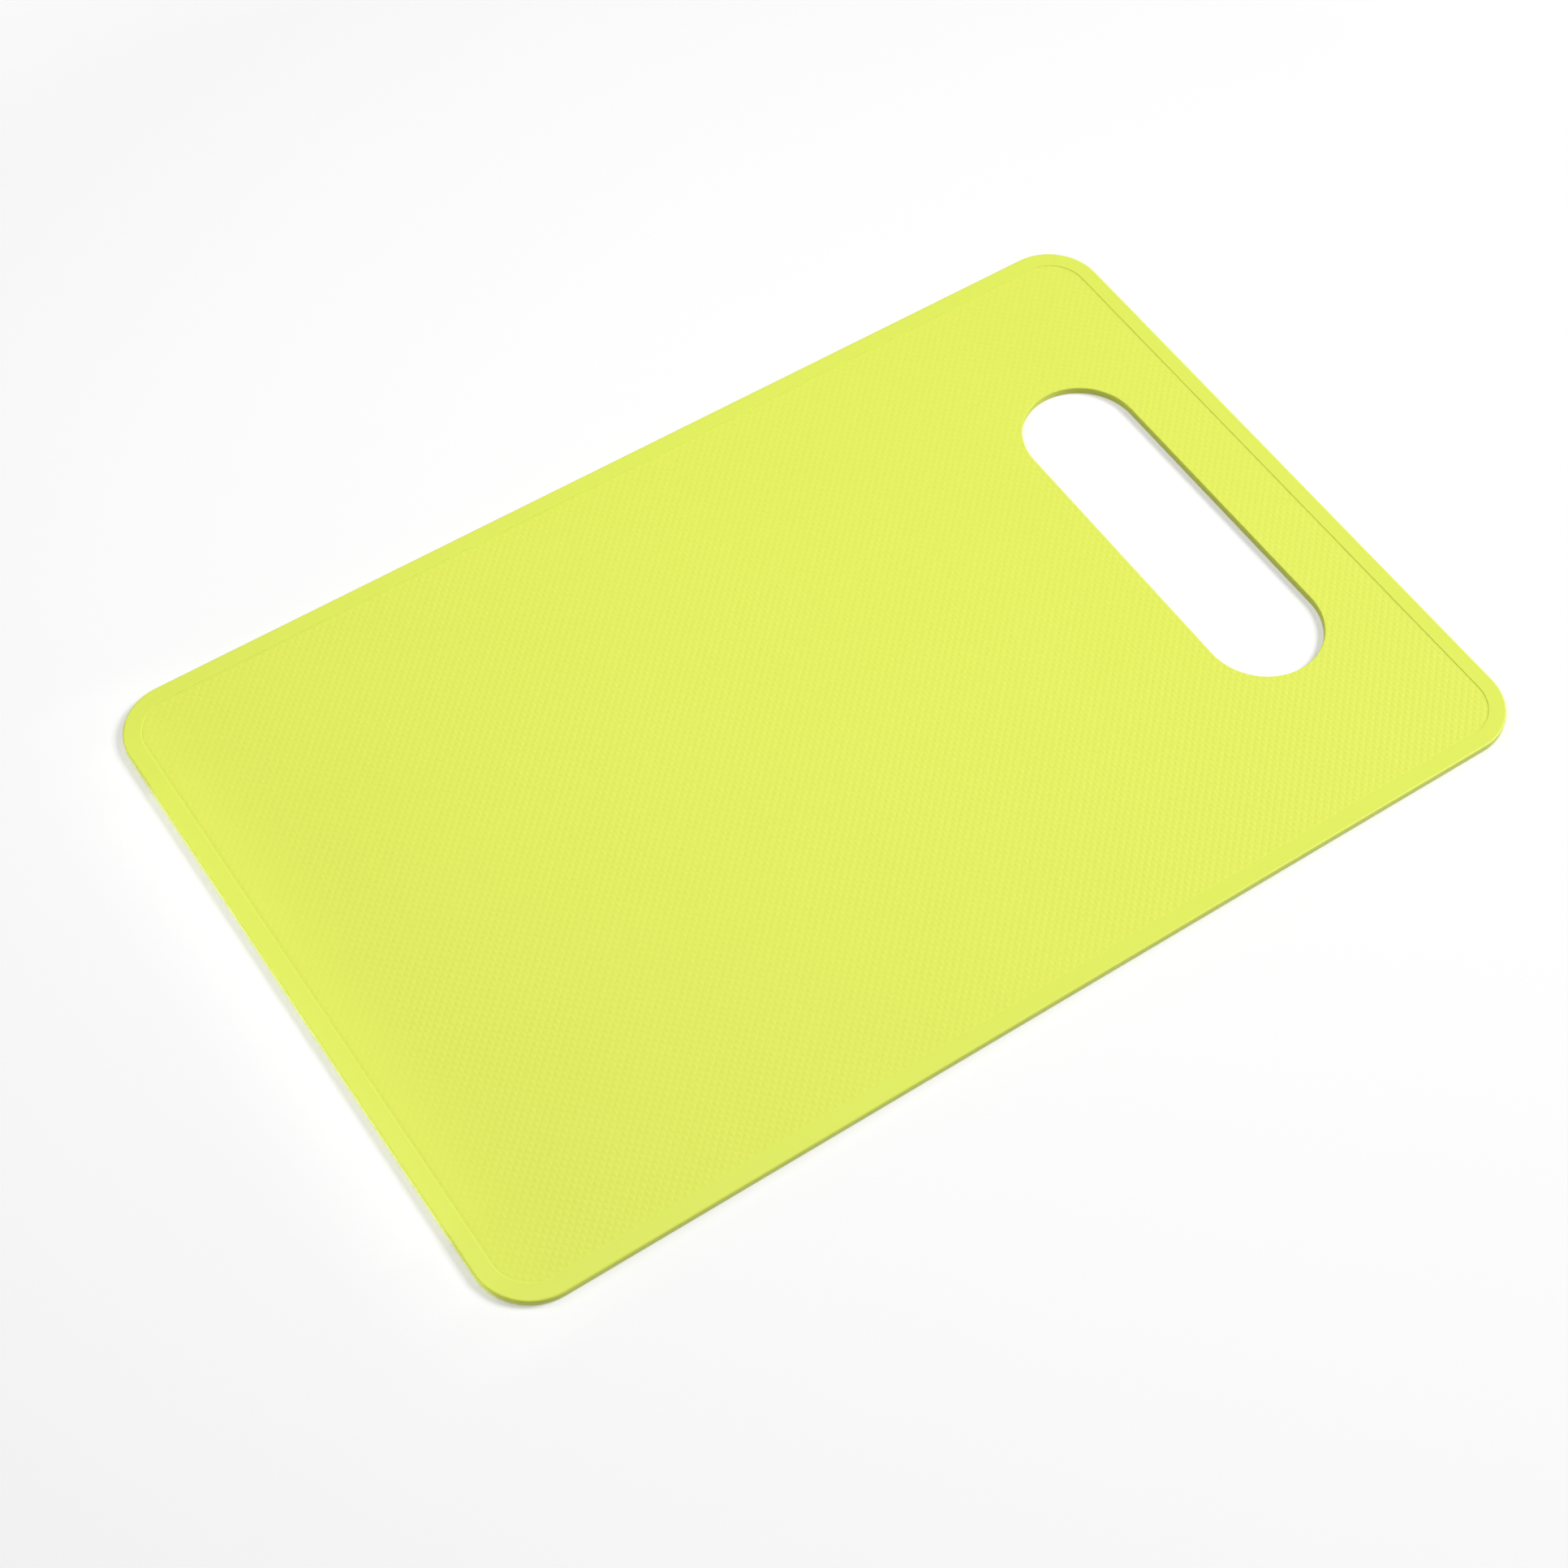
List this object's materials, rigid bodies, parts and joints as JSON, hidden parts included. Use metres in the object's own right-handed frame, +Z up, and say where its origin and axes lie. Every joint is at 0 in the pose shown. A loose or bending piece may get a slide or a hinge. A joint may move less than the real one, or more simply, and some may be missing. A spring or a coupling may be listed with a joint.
{
  "type": "plastic cutting board",
  "caption": "Thin flat rectangular plastic cutting board with rounded corners, a smooth rim round a textured cutting field, and a hand slot across one end.",
  "frame": {"origin": "middle of the underside, on the surface that the board lies on", "axes": "+X along the board towards the hand slot, +Y across the board, +Z up out of the cutting face"},
  "size_m": [0.25, 0.165, 0.002],
  "materials": {
    "plate_plastic": "lime polypropylene, moulded with a fine diamond texture",
    "rim_plastic": "lime polypropylene, moulded smooth with a satin sheen"
  },
  "bodies": {
    "root": {"cutting_plate": "plate_plastic", "edge_rim": "rim_plastic"}
  },
  "joints": []
}
